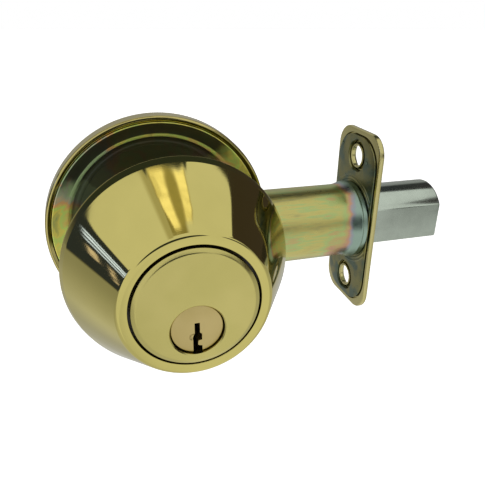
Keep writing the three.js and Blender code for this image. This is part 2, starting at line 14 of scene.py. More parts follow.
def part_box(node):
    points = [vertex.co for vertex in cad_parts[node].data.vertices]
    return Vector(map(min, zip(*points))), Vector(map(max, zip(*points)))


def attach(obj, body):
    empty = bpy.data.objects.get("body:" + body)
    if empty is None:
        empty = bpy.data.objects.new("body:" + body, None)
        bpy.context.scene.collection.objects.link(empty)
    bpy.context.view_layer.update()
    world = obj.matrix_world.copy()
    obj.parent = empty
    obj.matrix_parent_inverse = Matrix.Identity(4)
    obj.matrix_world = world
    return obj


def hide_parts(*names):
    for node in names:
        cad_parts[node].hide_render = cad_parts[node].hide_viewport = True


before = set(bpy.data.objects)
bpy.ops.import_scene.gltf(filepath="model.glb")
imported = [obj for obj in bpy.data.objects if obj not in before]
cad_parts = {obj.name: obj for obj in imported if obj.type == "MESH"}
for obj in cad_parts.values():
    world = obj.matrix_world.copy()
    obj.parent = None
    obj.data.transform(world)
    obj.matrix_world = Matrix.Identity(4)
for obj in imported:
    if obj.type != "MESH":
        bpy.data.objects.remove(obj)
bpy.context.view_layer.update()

MM = 0.001  # metres in a millimetre
CASE, KEY, DRIVE, BOLT = "lock_case", "key_plug", "turn_drive", "bolt_assembly"


def box_mm(node):
    """Lowest and highest corner of a CAD node, in millimetres."""
    low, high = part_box(node)
    return low / MM, high / MM


HOUSING = box_mm("exterior_housing")
HEAD = box_mm("cylinder_body")
PLUG = box_mm("plug")
ROSE = box_mm("interior_rose")
PLATE = box_mm("mounting_plate")
TUBE = box_mm("latch_tube")
BACKPLATE = box_mm("latch_backplate")
FACEPLATE = box_mm("latch_faceplate")
BOLT_BOX = box_mm("bolt")
TURN = box_mm("thumb_turn")

HOUSING_RADIUS = HOUSING[1].x
ROSE_RADIUS = ROSE[1].x
HEAD_RADIUS = HEAD[1].x
PLUG_RADIUS = PLUG[1].x
DRIVE_Z = (PLUG[0].z + PLUG[1].z) / 2
LATCH_Z = (FACEPLATE[0].z + FACEPLATE[1].z) / 2
FACE_X = FACEPLATE[1].x
COLLAR_X = FACEPLATE[0].x
RIM_BACK_X = COLLAR_X + 0.4
SCREW_X = (box_mm("mounting_screw_right")[0].x + box_mm("mounting_screw_right")[1].x) / 2
SCREW_Z = (box_mm("mounting_screw_right")[0].z + box_mm("mounting_screw_right")[1].z) / 2

PIN_STACKS = range(1, 6)
CHAMBER_RADIUS = 1.5
BOLT_RADIUS, BOLT_HALF_WIDTH, BOLT_BELOW, BOLT_CORNER = 10.5, 9.07, 5.5, 0.45
FACEPLATE_CORNER, FACEPLATE_SHEET = 6.35, 0.8
PLATE_SCREW_OFFSET = 20.6
HALF_HEIGHT = (FACEPLATE[1].z - FACEPLATE[0].z) / 2
SEAT_Y = ROSE[1].y + 0.4  # where the turn piece's flange and the screw heads sit on the rose

SMOOTH_ANGLE = math.radians(32)
FULL = 2 * math.pi


# ---- mesh helpers ---------------------------------------------------------------------------


def new_object(name, vertices, faces):
    """A mesh object from points in millimetres, smooth but for its sharp edges."""
    mesh = bpy.data.meshes.new(name)
    mesh.from_pydata([Vector(v) * MM for v in vertices], [], faces)
    work = bmesh.new()
    work.from_mesh(mesh)
    bmesh.ops.remove_doubles(work, verts=work.verts, dist=1e-7)
    bmesh.ops.recalc_face_normals(work, faces=work.faces)
    work.to_mesh(mesh)
    work.free()
    piece = bpy.data.objects.new(name, mesh)
    bpy.context.scene.collection.objects.link(piece)
    return shaded(piece)


def shaded(piece):
    """Smooth shading, with the edges sharper than SMOOTH_ANGLE kept sharp."""
    piece.data.shade_smooth()
    piece.data.set_sharp_from_angle(angle=SMOOTH_ANGLE)
    return piece


def combine(piece, *tools, operation="DIFFERENCE"):
    """Cuts tools from a piece, or joins them to it, and deletes them."""
    for tool in tools:
        modifier = piece.modifiers.new("combine", "BOOLEAN")
        modifier.operation = operation
        modifier.solver = "EXACT"
        modifier.object = tool
        depsgraph = bpy.context.evaluated_depsgraph_get()
        mesh = bpy.data.meshes.new_from_object(piece.evaluated_get(depsgraph))
        piece.modifiers.clear()
        piece.data = mesh
        bpy.data.objects.remove(tool)
    return shaded(piece)


def rounded(points, closed=True, steps=6):
    """An outline of (u, v) or (u, v, radius) points with its corners rounded by arcs."""
    result = []
    count = len(points)
    for i, point in enumerate(points):
        here = Vector(point[:2])
        radius = point[2] if len(point) > 2 else 0
        at_end = not closed and i in (0, count - 1)
        if radius <= 0 or at_end:
            result.append(here)
            continue
        back = Vector(points[i - 1][:2]) - here
        ahead = Vector(points[(i + 1) % count][:2]) - here
        corner = back.angle(ahead)
        if corner > math.pi - 0.01:
            result.append(here)
            continue
        reach = min(radius / math.tan(corner / 2), 0.49 * back.length, 0.49 * ahead.length)
        actual = reach * math.tan(corner / 2)
        inwards = (back.normalized() + ahead.normalized()).normalized()
        middle = here + inwards * (actual / math.sin(corner / 2))
        start = here + back.normalized() * reach - middle
        finish = here + ahead.normalized() * reach - middle
        sweep = start.angle_signed(finish)
        for k in range(steps + 1):
            result.append(middle + Matrix.Rotation(-sweep * k / steps, 2) @ start)
    return [(p.x, p.y) for p in result]


def turned(name, profile, axis="Y", centre=(0, 0), segments=160, closed=True):
    """A profile of (radius, along) points turned about a line parallel to X, Y or Z."""
    vertices, rings, faces = [], [], []
    for radius, along in profile:
        count = 1 if radius < 1e-6 else segments
        rings.append([len(vertices) + k for k in range(count)])
        for k in range(count):
            across = radius * math.cos(FULL * k / segments)
            up = radius * math.sin(FULL * k / segments)
            vertices.append(placed(axis, centre, across, up, along))
    pairs = list(zip(rings, rings[1:] + rings[:1]))
    for one, other in pairs if closed else pairs[:-1]:
        for k in range(segments):
            n = (k + 1) % segments
            corners = [
                one[k % len(one)], one[n % len(one)], other[n % len(other)], other[k % len(other)],
            ]
            distinct = list(dict.fromkeys(corners))
            if len(distinct) > 2:
                faces.append(distinct)
    return new_object(name, vertices, faces)


def placed(axis, centre, across, up, along):
    """A point given across, up and along a line parallel to an axis, through centre."""
    if axis == "X":
        return (along, centre[0] + across, centre[1] + up)
    if axis == "Y":
        return (centre[0] + across, along, centre[1] + up)
    return (centre[0] + across, centre[1] + up, along)


def lofted(name, rings):
    """A solid through rings of the same number of points, with flat ends."""
    vertices = [point for ring in rings for point in ring]
    count = len(rings[0])
    faces = [list(range(count)), list(range(len(vertices) - count, len(vertices)))]
    for level in range(len(rings) - 1):
        base = level * count
        for k in range(count):
            n = (k + 1) % count
            faces.append([base + k, base + n, base + count + n, base + count + k])
    return new_object(name, vertices, faces)


def slab(name, outline, axis, start, end, edge, centre=(0, 0), steps=4):
    """A plate with rounded edges. outline(inset) gives its (across, up) points that far inside."""
    rings = []
    for k in range(steps + 1):
        turn = math.pi / 2 * k / steps
        rings.append((edge * (1 - math.sin(turn)), start + edge * (1 - math.cos(turn))))
    rings += [(inset, start + end - along) for inset, along in reversed(rings)]
    return lofted(
        name,
        [[placed(axis, centre, u, v, along) for u, v in outline(inset)] for inset, along in rings],
    )


def rounded_rectangle(half_width, half_height, corner, steps=12):
    """A rounded rectangle's outline, as a function of how far inside it is wanted."""
    def outline(inset):
        radius = corner - inset
        points = []
        for quarter, (side, rise) in enumerate([(1, 1), (-1, 1), (-1, -1), (1, -1)]):
            middle = (side * (half_width - corner), rise * (half_height - corner))
            for k in range(steps + 1):
                turn = math.pi / 2 * (quarter + k / steps)
                points.append((
                    middle[0] + radius * math.cos(turn), middle[1] + radius * math.sin(turn),
                ))
        return points

    return outline


def bolt_section(inset, corner=BOLT_CORNER, steps=30):
    """The bolt's outline that far inside: round above, with flat sides and a flat underside."""
    radius, half_width, below = BOLT_RADIUS - inset, BOLT_HALF_WIDTH - inset, BOLT_BELOW - inset
    start = math.acos(half_width / radius)
    points = []
    for k in range(steps + 1):
        turn = start + (math.pi - 2 * start) * k / steps
        points.append((radius * math.cos(turn), radius * math.sin(turn)))
    for side, first in ((-1, math.pi), (1, 1.5 * math.pi)):
        for k in range(5):
            turn = first + math.pi / 2 * k / 4
            points.append((
                side * (half_width - corner) + corner * math.cos(turn),
                corner - below + corner * math.sin(turn),
            ))
    return points


def rod(radius, axis, start, end, centre, segments=64):
    """A plain cylinder to cut or join with."""
    profile = [(0, start), (radius, start), (radius, end), (0, end)]
    return turned("tool", profile, axis, centre, segments, closed=False)


def block(low, high):
    """A plain box to cut or join with, from its lowest and highest corner."""
    (x0, y0, z0), (x1, y1, z1) = low, high
    return lofted("tool", [[(x0, y0, z), (x1, y0, z), (x1, y1, z), (x0, y1, z)] for z in (z0, z1)])


def screw_bores(radius, start, end, segments=32):
    """Two rods along Y where the mounting screws run."""
    return [rod(radius, "Y", start, end, (side * SCREW_X, SCREW_Z), segments) for side in (-1, 1)]


def chamber_bores(pin, bottom, top):
    """A row of upright rods, one at each of the pins of that name."""
    boxes = [box_mm(f"{pin}_{i}") for i in PIN_STACKS]
    return [rod(CHAMBER_RADIUS, "Z", bottom, top, (0, (low.y + high.y) / 2), 24) for low, high in boxes]


# ---- material helpers -----------------------------------------------------------------------


class Nodes:
    """Short calls for building a material's or a world's nodes."""

    def __init__(self, tree):
        self.tree = tree
        tree.nodes.clear()

    def add(self, kind, **settings):
        node = self.tree.nodes.new(kind)
        for key, value in settings.items():
            setattr(node, key, value)
        return node

    def join(self, source, socket):
        if isinstance(source, (int, float, tuple)):
            socket.default_value = source
        else:
            self.tree.links.new(source, socket)

    def math(self, operation, a, b=0.0, c=0.0):
        node = self.add("ShaderNodeMath", operation=operation)
        for value, socket in zip((a, b, c), node.inputs):
            self.join(value, socket)
        return node.outputs[0]

    def less(self, a, b):
        return self.math("SUBTRACT", a, b)

    def apart(self, a, b):
        """How far a and b are apart."""
        return self.math("ABSOLUTE", self.less(a, b))

    def product(self, first, *others):
        for other in others:
            first = self.math("MULTIPLY", first, other)
        return first

    def squares(self, a, b):
        """The sum of the squares of a and b."""
        return self.math("ADD", self.product(a, a), self.product(b, b))

    def length(self, a, b):
        return self.math("SQRT", self.squares(a, b))

    def oval(self, a, b, middle, scale):
        """The squared distance from middle, in units of an oval: 1 on it, less inside."""
        return self.squares(
            self.product(self.less(a, middle[0]), scale[0]), self.product(self.less(b, middle[1]), scale[1])
        )

    def ramp(self, value, low, high, to_low=0.0, to_high=1.0):
        """A smooth step from to_low to to_high as value goes from low to high."""
        node = self.add("ShaderNodeMapRange", interpolation_type="SMOOTHSTEP")
        for source, socket in zip((value, low, high, to_low, to_high), node.inputs):
            self.join(source, socket)
        return node.outputs[0]

    def mix(self, factor, a, b):
        """Colour a, with b over it by factor."""
        node = self.add("ShaderNodeMix", data_type="RGBA")
        self.join(factor, node.inputs[0])
        self.join(a, node.inputs[6])
        self.join(b, node.inputs[7])
        return node.outputs[2]

    def split(self, vector):
        node = self.add("ShaderNodeSeparateXYZ")
        self.join(vector, node.inputs[0])
        return node.outputs

    def vector(self, x, y, z):
        node = self.add("ShaderNodeCombineXYZ")
        for value, socket in zip((x, y, z), node.inputs):
            self.join(value, socket)
        return node.outputs[0]

    def noise(self, vector, scale, detail=4.0, roughness=0.55, distortion=0.0):
        node = self.add("ShaderNodeTexNoise")
        self.join(vector, node.inputs["Vector"])
        node.inputs["Scale"].default_value = scale
        node.inputs["Detail"].default_value = detail
        node.inputs["Roughness"].default_value = roughness
        node.inputs["Distortion"].default_value = distortion
        return node.outputs["Fac"]

    def scaled(self, vector, factors):
        """A vector or colour with each of its parts multiplied by its own factor."""
        node = self.add("ShaderNodeVectorMath", operation="MULTIPLY")
        self.join(vector, node.inputs[0])
        node.inputs[1].default_value = factors
        return node.outputs[0]

    def colours(self, value, stops):
        """A colour band from (position, colour) stops."""
        node = self.add("ShaderNodeValToRGB")
        band = node.color_ramp
        band.interpolation = "EASE"
        while len(band.elements) < len(stops):
            band.elements.new(0.5)
        for element, (position, colour) in zip(band.elements, stops):
            element.position = position
            element.color = (*colour, 1)
        self.join(value, node.inputs[0])
        return node.outputs[0]

    def bump(self, height, strength, distance=0.05):
        node = self.add("ShaderNodeBump")
        node.inputs["Strength"].default_value = strength
        node.inputs["Distance"].default_value = distance * MM
        self.join(height, node.inputs["Height"])
        return node.outputs[0]


def metal(name):
    """An empty metal: its nodes, its shader and its object coordinates in millimetres."""
    material = bpy.data.materials.new(name)
    material.use_nodes = True
    nodes = Nodes(material.node_tree)
    shader = nodes.add("ShaderNodeBsdfPrincipled")
    shader.inputs["Metallic"].default_value = 1.0
    output = nodes.add("ShaderNodeOutputMaterial")
    nodes.join(shader.outputs[0], output.inputs[0])
    place = nodes.add("ShaderNodeTexCoord").outputs["Object"]
    scaled = nodes.add("ShaderNodeVectorMath", operation="SCALE")
    nodes.join(place, scaled.inputs[0])
    scaled.inputs["Scale"].default_value = 1 / MM
    return material, nodes, shader, scaled.outputs[0]


def round_grain(nodes, place, centre_z):
    """Noise drawn out round a line parallel to Y, as turning and buffing leave it."""
    around, across = 3.0, 4.0
    x, y, z = nodes.split(place)
    z = nodes.less(z, centre_z)
    radius = nodes.length(x, z)
    safe = nodes.math("MAXIMUM", radius, 0.5)
    along = nodes.product(nodes.math("ADD", nodes.product(radius, 0.6), y), across)
    turn_x = nodes.product(nodes.math("DIVIDE", x, safe), around)
    turn_z = nodes.product(nodes.math("DIVIDE", z, safe), around)
    return nodes.noise(nodes.vector(turn_x, turn_z, along), 1.0, detail=3.0)


def brass(name, colour, deep, roughness, spread, centre_z=0.0, grain=0.1):
    """Buffed brass: a slow drift between two hues, faint turning marks and uneven gloss."""
    material, nodes, shader, place = metal(name)
    drift = nodes.noise(place, 0.08, detail=2.0)
    marks = round_grain(nodes, place, centre_z)
    tone = nodes.mix(nodes.ramp(drift, 0.3, 0.7), (*colour, 1), (*deep, 1))
    nodes.join(tone, shader.inputs["Base Color"])
    smudge = nodes.noise(place, 0.35, detail=5.0)
    gloss = nodes.math("MULTIPLY_ADD", smudge, spread, roughness - spread / 2)
    nodes.join(gloss, shader.inputs["Roughness"])
    nodes.join(nodes.bump(marks, grain), shader.inputs["Normal"])
    return material


# the colours of a chromate film on zinc, from thin to thick
FILM_COLOURS = [
    (0.0, (0.19, 0.26, 0.19)),
    (0.16, (0.42, 0.40, 0.17)),
    (0.34, (0.58, 0.52, 0.18)),
    (0.48, (0.44, 0.54, 0.21)),
    (0.60, (0.55, 0.44, 0.19)),
    (0.72, (0.56, 0.33, 0.22)),
    (0.82, (0.40, 0.35, 0.36)),
    (0.90, (0.33, 0.37, 0.40)),
    (1.0, (0.32, 0.44, 0.37)),
]
# painted shade: the near-black colour that a zinc film is darkened towards where shade is painted on it
PAINTED_SHADE_COLOUR = (0.016, 0.015, 0.010, 1)


def passivated_zinc(name, tint, roughness, painted_shade=None, metallic=1.0, brightness=1.0):
    """Zinc plate under a chromate film.

    tint(nodes, place) gives where it is in the film's colours, and the darkening function how far it
    is darkened towards a painted shade. A brightness other than 1 also makes the film yellower.
    """
    material, nodes, shader, place = metal(name)
    colour = nodes.colours(tint(nodes, place), FILM_COLOURS)
    if brightness != 1.0:
        colour = nodes.scaled(colour, (brightness, brightness, 0.6 * brightness))
    if painted_shade:
        # painted shade: mixes the film's colour towards near black as the darkening mask says
        colour = nodes.mix(painted_shade(nodes, place), colour, PAINTED_SHADE_COLOUR)
    nodes.join(colour, shader.inputs["Base Color"])
    shader.inputs["Metallic"].default_value = metallic
    wear = nodes.noise(place, 0.9, detail=6.0, roughness=0.7)
    nodes.join(nodes.math("MULTIPLY_ADD", wear, 0.18, roughness - 0.09), shader.inputs["Roughness"])
    nodes.join(nodes.bump(nodes.noise(place, 2.5, detail=4.0), 0.06), shader.inputs["Normal"])
    return material


def steel(name, colour, roughness, depth=0.05):
    """Ground steel with fine lines along X, of the given depth."""
    material, nodes, shader, place = metal(name)
    lines = nodes.noise(nodes.scaled(place, (0.25, 6.0, 6.0)), 1.0, detail=4.0)
    stain = nodes.noise(place, 0.22, detail=5.0)
    dark = tuple(0.92 * part for part in colour)
    tone = nodes.mix(nodes.ramp(stain, 0.35, 0.65), (*colour, 1), (*dark, 1))
    nodes.join(tone, shader.inputs["Base Color"])
    nodes.join(nodes.math("MULTIPLY_ADD", lines, 0.08, roughness - 0.04), shader.inputs["Roughness"])
    nodes.join(nodes.bump(lines, depth), shader.inputs["Normal"])
    return material


def film_by_noise(base, spread, scale):
    """A film in clouds, from base to base + spread in the film's colours."""
    def tint(nodes, place):
        cloud = nodes.noise(place, scale, detail=3.0, distortion=0.6)
        return nodes.math("MULTIPLY_ADD", cloud, spread, base)

    return tint


def film_along_tube(nodes, place):
    """Yellow and green streaks on the tube, then a blush, then violet and green on its flare."""
    x, y, z = nodes.split(place)
    broad = nodes.noise(nodes.vector(nodes.product(x, 0.3), y, z), 0.22, detail=3.0)
    fine = nodes.noise(nodes.vector(nodes.product(x, 0.08), y, z), 1.3, detail=3.0)
    streaks = nodes.math("MULTIPLY_ADD", fine, 0.45, nodes.product(broad, 0.75))
    body = nodes.math("MULTIPLY_ADD", streaks, 1.3, -0.40)
    wander = nodes.math("MULTIPLY_ADD", nodes.noise(place, 0.13, detail=2.0), 6.0, -3.0)
    shifted = nodes.math("ADD", x, wander)
    end = TUBE[1].x
    blush = nodes.product(nodes.ramp(shifted, end - 15, end - 7), nodes.ramp(z, 9, -4, 0.20, 0.42))
    violet = nodes.ramp(shifted, end - 8.5, end - 1.5, 0.0, 0.8)
    keep = nodes.ramp(shifted, end - 12, end - 5, 1.0, 0.25)
    mixed = nodes.math("MULTIPLY_ADD", body, keep, nodes.math("ADD", blush, violet))
    return nodes.math("MINIMUM", mixed, 1.0)


def round_place(nodes, place):
    """X, the distance from the lock's axis, and the height as a share of that distance."""
    x, y, z = nodes.split(place)
    radius = nodes.length(x, z)
    return x, radius, nodes.math("DIVIDE", z, nodes.math("MAXIMUM", radius, 1.0))


def film_on_plate(nodes, place):
    """The mounting plate: yellow and green blotches, and blue-green high on the left."""
    x, radius, height = round_place(nodes, place)
    cloud = nodes.noise(place, 0.16, detail=3.0, distortion=0.8)
    blue = nodes.product(nodes.ramp(height, 0.18, 0.42, 0.0, 0.62), nodes.ramp(x, -10, -18))
    tint = nodes.math("MULTIPLY_ADD", cloud, 1.1, nodes.ramp(radius, 27, 31, -0.02, -0.2))
    return nodes.math("MINIMUM", nodes.math("ADD", tint, blue), 1.0)


def painted_shade_on_plate(nodes, place):
    """Painted shade: the film is painted nearly black in the recess, and as a dark reflection over the top
    of the flange; the step and the lip keep the film's own colour.
    """
    x, radius, height = round_place(nodes, place)
    wander = nodes.math("MULTIPLY_ADD", nodes.noise(place, 0.12, detail=3.0), 0.3, -0.15)
    left = nodes.ramp(x, -4, 4, 0.50, 0.72)
    # painted dark reflection over the top of the flange, and painted shade in the recess
    dark_reflection_over_top = nodes.ramp(nodes.less(nodes.math("ADD", height, wander), left), -0.16, 0.08, 0.0, 0.96)
    recess = nodes.ramp(radius, 27.4, 26.6, 0.0, 0.9)
    step = nodes.ramp(nodes.apart(radius, 28.1), 0.75, 0.4, 1.0, 0.0)
    lip = nodes.ramp(radius, 32.1, 32.4, 1.0, 0.0)
    return nodes.product(nodes.math("MAXIMUM", dark_reflection_over_top, recess), step, lip)


def painted_shade_all_over(amount):
    """Painted shade: the film is darkened by about that much, in clouds."""
    def painted_shade(nodes, place):
        return nodes.math("MULTIPLY_ADD", nodes.noise(place, 0.25, detail=4.0), 0.3, amount - 0.15)

    return painted_shade


MATERIALS = {
    "housing": brass(
        "polished_brass_housing", (0.63, 0.555, 0.185), (0.60, 0.53, 0.175), 0.05, 0.02, grain=0.03
    ),
    "rose": brass("polished_brass_rose", (0.58, 0.50, 0.19), (0.53, 0.46, 0.17), 0.12, 0.06, grain=0.05),
    "head": brass("satin_brass_head", (0.60, 0.53, 0.19), (0.56, 0.50, 0.17), 0.22, 0.1, grain=0.12),
    "plug": brass("satin_brass_plug", (0.60, 0.48, 0.21), (0.54, 0.43, 0.17), 0.33, 0.1, DRIVE_Z, 0.3),
    "turn": brass("polished_brass_turn", (0.62, 0.54, 0.18), (0.59, 0.51, 0.17), 0.1, 0.05, DRIVE_Z),
    "faceplate": brass("brass_faceplate", (0.60, 0.54, 0.24), (0.55, 0.50, 0.22), 0.2, 0.08, LATCH_Z),
    "tube": passivated_zinc("passivated_zinc_tube", film_along_tube, 0.3),
    # the backplate's film is darkened in clouds: painted shade
    "backplate": passivated_zinc(
        "passivated_zinc_backplate", film_by_noise(-0.3, 0.8, 0.14), 0.3, painted_shade_all_over(0.4)
    ),
    # the plate's film is painted near black: painted shade in the recess, a painted dark reflection over
    # the flange's top
    "plate": passivated_zinc(
        "passivated_zinc_plate", film_on_plate, 0.36, painted_shade_on_plate, metallic=0.4, brightness=1.75
    ),
    "zinc": passivated_zinc("passivated_zinc_parts", film_by_noise(0.1, 0.6, 0.2), 0.3),
    "bolt": steel("ground_steel_bolt", (0.53, 0.60, 0.52), 0.15, depth=0.015),
    "steel": steel("steel_parts", (0.52, 0.53, 0.54), 0.3),
    # painted shade: this steel is near black so that the backing ring's back reflects as shade in the gap
    # behind the housing
    "hard": steel("hardened_steel_painted_shade", (0.07, 0.07, 0.075), 0.42),
    "spring": steel("spring_steel", (0.58, 0.59, 0.60), 0.22),
}


def finished(piece, material, body, slot, *nodes):
    """Gives a piece its material, and tells the frame what it rides on and stands for."""
    piece.data.materials.clear()
    piece.data.materials.append(MATERIALS[material])
    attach(piece, body)
    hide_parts(*nodes)
    return piece


# ---- exterior -------------------------------------------------------------------------------


def housing_shell():
    """The tapered collar: a flat front ring, a straight taper and a rolled rim."""
    nose, rear = HOUSING[0].y, HOUSING[1].y
    bore = HEAD_RADIUS + 0.65
    ring_rear = nose + 3.4
    taper = math.tan(math.radians(30))
    shoulder = (HOUSING_RADIUS - 0.85, rear - 2.4)
    profile = rounded([
        (bore, nose, 0.12),
        (shoulder[0] - (shoulder[1] - nose) * taper, nose, 1.25),
        (*shoulder, 2.5),
        (HOUSING_RADIUS - 0.15, rear - 0.7, 1.2),
        (HOUSING_RADIUS, rear - 0.3, 0.2),
        (HOUSING_RADIUS - 0.25, rear, 0.12),
        (27.9, rear),
        (27.9, rear - 1.8),
        (18.1, ring_rear),
        (bore, ring_rear),
    ], steps=10)
    piece = turned("housing_shell", profile, segments=224)
    return finished(piece, "housing", CASE, "polished_brass", "exterior_housing")


def cylinder_head():
    """The key cylinder's body, whose round head shows in the housing's bore."""
    front, rear = HEAD[0].y, HEAD[1].y
    neck, shank_radius = HOUSING[0].y + 2.9, 14.6
    profile = rounded([
        (0, front),
        (HEAD_RADIUS - 1.0, front, 1.0),
        (HEAD_RADIUS, front + 0.55, 0.2),
        (HEAD_RADIUS, neck),
        (shank_radius, neck),
        (shank_radius, rear, 0.3),
        (0, rear),
    ], closed=False)
    piece = turned("cylinder_head", profile, segments=192, closed=False)
    hole = PLUG_RADIUS + 0.3
    plug_bore = turned("tool", [
        (0, front - 1),
        (hole + 1.25, front - 1),
        (hole + 0.25, front),
        (hole, front + 0.25),
        (hole, rear + 1),
        (0, rear + 1),
    ], centre=(0, DRIVE_Z), segments=128, closed=False)
    cap = box_mm("chamber_cap")
    slot = block((-1.8, cap[0].y - 0.3, cap[0].z - 0.3), (1.8, cap[1].y + 0.3, 20))
    chambers = chamber_bores("driver_pin", DRIVE_Z, cap[0].z)
    combine(piece, plug_bore, slot, *chambers, *screw_bores(2.4, rear - 8, rear + 1))
    return finished(piece, "head", CASE, "satin_brass", "cylinder_body")


def keyway_cutter(start, end):
    """A paracentric keyway with rounded wards, open at the plug's underside."""
    outline = rounded([
        (-0.65, 1.65, 0.15), (0.65, 1.65, 0.15), (0.65, -1.15, 0.25), (1.15, -1.5, 0.2),
        (1.15, -3.15, 0.15), (0.2, -3.3, 0.25), (0.15, -4.55, 0.25), (1.2, -4.85, 0.15),
        (1.2, -8), (-1.05, -8), (-1.05, -2.5, 0.4), (-0.65, -1.45, 0.3),
    ], steps=3)
    rings = [[(u, along, v + DRIVE_Z) for u, v in outline] for along in (start, end)]
    return lofted("tool", rings)


def key_plug():
    """The plug: its face and keyway, the groove for its clip, and a worn dimple beside the keyway."""
    front, rear = PLUG[0].y, PLUG[1].y
    face_radius, groove_radius = PLUG_RADIUS + 0.03, 5.2
    profile = rounded([
        (0, front),
        (face_radius, front, 0.2),
        (face_radius, front + 1.5),
        (PLUG_RADIUS, front + 1.7),
        (PLUG_RADIUS, rear - 1.8),
        (groove_radius, rear - 1.8),
        (groove_radius, rear - 0.8),
        (6, rear - 0.8),
        (6, rear, 0.2),
        (0, rear),
    ], closed=False)
    piece = turned("key_plug_face", profile, centre=(0, DRIVE_Z), segments=128, closed=False)
    tail = rod(3.3, "Y", rear - 2.3, rear + 1, (0, DRIVE_Z), 48)
    chambers = chamber_bores("bottom_pin", DRIVE_Z - 0.6, 2)
    dimple = turned("tool", [
        (0, front - 0.1), (1.15, front - 0.1), (0.6, front + 0.3), (0, front + 0.35),
    ], centre=(-0.95, DRIVE_Z - 2.2), segments=32, closed=False)
    combine(piece, dimple, keyway_cutter(front - 1, rear - 6), tail, *chambers)
    return finished(piece, "plug", KEY, "satin_brass", "plug")


# ---- interior -------------------------------------------------------------------------------


def rose_shell():
    """The brass rose: a rolled lip, a full belly and a low dome."""
    front, top = ROSE[0].y, ROSE[1].y
    outer = rounded([
        (ROSE_RADIUS - 1.5, front + 0.25, 0.1),
        (ROSE_RADIUS - 1.2, front, 0.3),
        (ROSE_RADIUS - 0.6, front + 0.15, 0.5),
        (ROSE_RADIUS - 0.42, front + 0.9, 0.9),
        (ROSE_RADIUS - 0.35, front + 5.4, 4),
        (ROSE_RADIUS - 1.6, front + 9.0, 4),
        (ROSE_RADIUS - 6.6, front + 12.1, 7),
        (14, top - 0.2, 30),
    ], closed=False, steps=12)
    inner = [
        (0, top - 1.2), (14, top - 1.4), (ROSE_RADIUS - 7.2, front + 9.6),
        (ROSE_RADIUS - 2.6, front + 6), (ROSE_RADIUS - 1.5, front + 3), (ROSE_RADIUS - 2.0, front + 0.6),
    ]
    piece = turned("rose_shell", outer + [(0, top)] + inner, segments=224)
    combine(piece, rod(5.6, "Y", 18, 32, (0, DRIVE_Z)), *screw_bores(2.5, 18, 32))
    return finished(piece, "rose", CASE, "polished_brass", "interior_rose")


def recessed_plate():
    """The zinc mounting plate: a sloped flange, a rounded step and a recess with a pressed ring."""
    front, rear = PLATE[0].y, PLATE[1].y
    outer, step = PLATE[1].x, 28.2
    floor = rear - 1.2
    profile = rounded([
        (0, floor),
        (24.7, floor, 0.3),
        (25.1, floor - 0.22, 0.2),
        (25.7, floor - 0.22, 0.2),
        (26.1, floor, 0.2),
        (step - 1.3, floor, 0.5),
        (step - 0.45, front + 3.3, 0.4),
        (step + 0.1, front + 2.75, 0.35),
        (outer, front, 0.3),
        (outer, front + 0.8, 0.2),
        (step + 0.7, front + 3.6, 0.6),
        (step + 0.1, front + 4.2, 0.5),
        (step - 0.6, rear, 0.5),
        (0, rear),
    ], closed=False)
    piece = turned("recessed_plate", profile, segments=224, closed=False)
    combine(piece, rod(4.4, "Y", 8, 24, (0, DRIVE_Z), 48), *screw_bores(2.6, 8, 24))
    return finished(piece, "plate", CASE, "yellow_zinc", "mounting_plate")


def oval_section(half_width, half_depth, y, power=2.4, count=72):
    """A ring of points round the thumb turn's axis: an oval in X and Z, squarer than an ellipse."""
    ring = []
    for k in range(count):
        c, s = math.cos(FULL * k / count), math.sin(FULL * k / count)
        u = math.copysign(abs(c) ** (2 / power), c) * half_width
        v = math.copysign(abs(s) ** (2 / power), s) * half_depth
        ring.append((u, y, DRIVE_Z + v))
    return ring


def turn_piece():
    """The thumb turn: a collar with a clip groove, whose stem spreads into a waisted oval grip."""
    start, flange, tip = TURN[0].y, SEAT_Y, TURN[1].y
    hub_radius, groove_radius = 5.2, 4.3
    stem = turned("turn_piece", rounded([
        (0, start),
        (hub_radius, start, 0.3),
        (hub_radius, start + 1.3),
        (groove_radius, start + 1.3),
        (groove_radius, start + 2.1),
        (hub_radius, start + 2.1),
        (hub_radius, flange),
        (7.2, flange, 0.4),
        (7.1, flange + 1.3, 0.5),
        (5.6, flange + 2.0, 0.8),
        (4.5, flange + 4.6, 2),
        (4.3, flange + 9),
        (0, flange + 9),
    ], closed=False), centre=(0, DRIVE_Z), segments=128, closed=False)
    reach, depth = TURN[1].x, 3.6
    grip_start = flange + 3.8
    rows = 18
    rings = []
    for row in range(rows + 1):
        share = row / rows
        y = grip_start + (tip - grip_start) * share
        bulge = math.sin(math.pi * min(0.985, max(0.015, share))) ** 0.5
        half_depth = depth * (0.62 + 0.38 * bulge) * bulge ** 0.45
        rings.append(oval_section(reach * bulge, half_depth, y))
    grip = lofted("tool", rings)
    combine(stem, grip, operation="UNION")
    slot = block((-1.1, start - 1, DRIVE_Z - 2.9), (1.1, flange - 1, DRIVE_Z + 2.9))
    combine(stem, slot)
    return finished(stem, "turn", DRIVE, "polished_brass", "thumb_turn")


def through_screw(node):
    """A long machine screw with a domed head and a cross recess."""
    low, high = box_mm(node)
    x = (low.x + high.x) / 2
    shank_radius, recess_half_width, recess_reach = 2.1, 0.35, 2
    piece = turned("head_of_" + node, rounded([
        (0, low.y),
        (1.6, low.y),
        (shank_radius, low.y + 0.6),
        (shank_radius, SEAT_Y),
        (4.0, SEAT_Y, 0.15),
        (3.9, SEAT_Y + 0.7, 0.3),
        (2.6, high.y - 0.3, 1.5),
        (0, high.y),
    ], closed=False), centre=(x, SCREW_Z), segments=64, closed=False)
    for u, v in ((recess_reach, recess_half_width), (recess_half_width, recess_reach)):
        combine(piece, block((x - u, SEAT_Y + 0.7, SCREW_Z - v), (x + u, high.y + 1, SCREW_Z + v)))
    return finished(piece, "steel", CASE, "steel", node)


# ---- latch ----------------------------------------------------------------------------------


